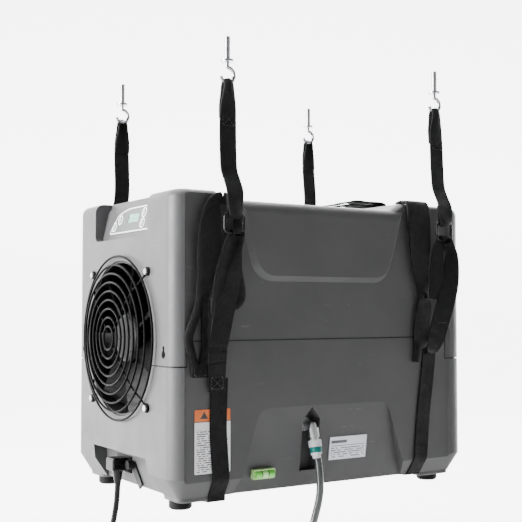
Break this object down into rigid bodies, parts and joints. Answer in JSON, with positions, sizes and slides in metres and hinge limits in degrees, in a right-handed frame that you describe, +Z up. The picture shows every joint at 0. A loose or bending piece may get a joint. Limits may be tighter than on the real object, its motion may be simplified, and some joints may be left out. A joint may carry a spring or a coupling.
{
  "type": "portable crawl-space dehumidifier",
  "caption": "Grey moulded box dehumidifier with a round guarded fan on one end, hung from the ceiling by webbing slings, with carry handles, a drain hose and a mains cord.",
  "frame": {"origin": "centre of the four ceiling hook screws, in the plane of the ceiling", "axes": "+Z up along the hook screws; the fan end faces -X; the long face with the drain coupling faces -Y"},
  "size_m": [0.5402, 0.3985, 0.9434],
  "materials": {
    "housing": "moulded orange-peel texture",
    "seal": "matt",
    "screw_steel": "zinc plated",
    "foot_rubber": "matt",
    "guard_wire": "semi-gloss powder coat",
    "black_plastic": "moulded",
    "motor_case": "satin",
    "bezel": "satin",
    "overlay": "satin film with a white border",
    "lcd": "green display",
    "keys": "satin",
    "board": "solder resist",
    "cord": "satin",
    "retainer": "polished",
    "tie": "hook and loop",
    "nickel": "satin nickel plate",
    "collar": "moulded",
    "teal_ring": "moulded",
    "hose": "clear vinyl",
    "vial_block": "clear acrylic",
    "vial": "green spirit",
    "label": "printed film",
    "silver_label": "satin silver film",
    "filter_mat": "open fibre mat",
    "fins": "finned",
    "pan": "moulded",
    "compressor_paint": "gloss black enamel",
    "copper": "drawn copper",
    "float": "moulded",
    "webbing": "woven polyester",
    "ring_steel": "black oxide",
    "hook_steel": "zinc plated"
  },
  "bodies": {
    "root": {"upper_housing": "housing", "lower_housing": "housing", "seam_gasket": "seal", "case_screws": "screw_steel", "rubber_feet": "foot_rubber", "fan_guard": "guard_wire", "panel_screws": "screw_steel", "fan_shroud": "black_plastic", "fan_motor": "motor_case", "control_bezel": "bezel", "control_overlay": "overlay", "lcd_window": "lcd", "control_board": "board", "power_inlet": "black_plastic", "cord_connector": "cord", "cord_retainer": "retainer", "mains_cord": "cord", "mains_cord_coil": "cord", "mains_cord_tie": "tie", "mains_plug": "cord", "drain_coupling": "nickel", "hose_connector": "collar", "hose_ring": "teal_ring", "drain_hose": "hose", "drain_hose_coil": "hose", "drain_hose_tie": "tie", "hose_end": "nickel", "level_block": "vial_block", "level_vial": "vial", "warning_label": "label", "rating_label": "silver_label", "intake_grille": "black_plastic", "evaporator_coil": "fins", "condenser_coil": "fins", "drain_pan": "pan", "compressor": "compressor_paint", "compressor_mounts": "foot_rubber", "accumulator": "copper", "refrigerant_lines": "copper", "pump_tank": "pan", "condensate_pump": "black_plastic", "pump_pipe": "pan", "slings": "webbing", "sling_tabs": "webbing", "strap_rings": "ring_steel", "hanging_straps": "webbing", "spare_webbing": "webbing", "front_handles": "webbing", "rear_handles": "webbing", "handle_anchors": "webbing", "ceiling_hooks": "hook_steel"},
    "impeller": {"fan_impeller": "black_plastic"},
    "power_key": {"power_button": "keys"},
    "mode_key": {"mode_button": "keys"},
    "up_key": {"up_button": "keys"},
    "down_key": {"down_button": "keys"},
    "filter": {"filter_frame": "black_plastic", "filter_mat": "filter_mat"},
    "float_arm": {"pump_float": "float"},
    "collar": {"release_collar": "collar"}
  },
  "joints": [
    {"name": "fan_spin", "type": "hinge", "parent": "root", "child": "impeller", "pos_m": [-0.2425, 0.005, -0.383], "axis": [1, 0, 0], "continuous": true},
    {"name": "power_press", "type": "slide", "parent": "root", "child": "power_key", "axis": [0.9744, 0, -0.225], "range_m": [0, 0.0008], "stiffness_N_per_m": 900},
    {"name": "mode_press", "type": "slide", "parent": "root", "child": "mode_key", "axis": [0.9744, 0, -0.225], "range_m": [0, 0.0008], "stiffness_N_per_m": 900},
    {"name": "up_press", "type": "slide", "parent": "root", "child": "up_key", "axis": [0.9744, 0, -0.225], "range_m": [0, 0.0008], "stiffness_N_per_m": 900},
    {"name": "down_press", "type": "slide", "parent": "root", "child": "down_key", "axis": [0.9744, 0, -0.225], "range_m": [0, 0.0008], "stiffness_N_per_m": 900},
    {"name": "filter_slide", "type": "slide", "parent": "root", "child": "filter", "axis": [0, 1, 0], "range_m": [0, 0.24]},
    {"name": "float_lift", "type": "hinge", "parent": "root", "child": "float_arm", "pos_m": [-0.1375, -0.084, -0.5225], "axis": [1, 0, 0], "range_deg": [0, 22]},
    {"name": "collar_release", "type": "slide", "parent": "root", "child": "collar", "axis": [0, 0.2419, 0.9703], "range_m": [0, 0.004], "stiffness_N_per_m": 1500}
  ]
}
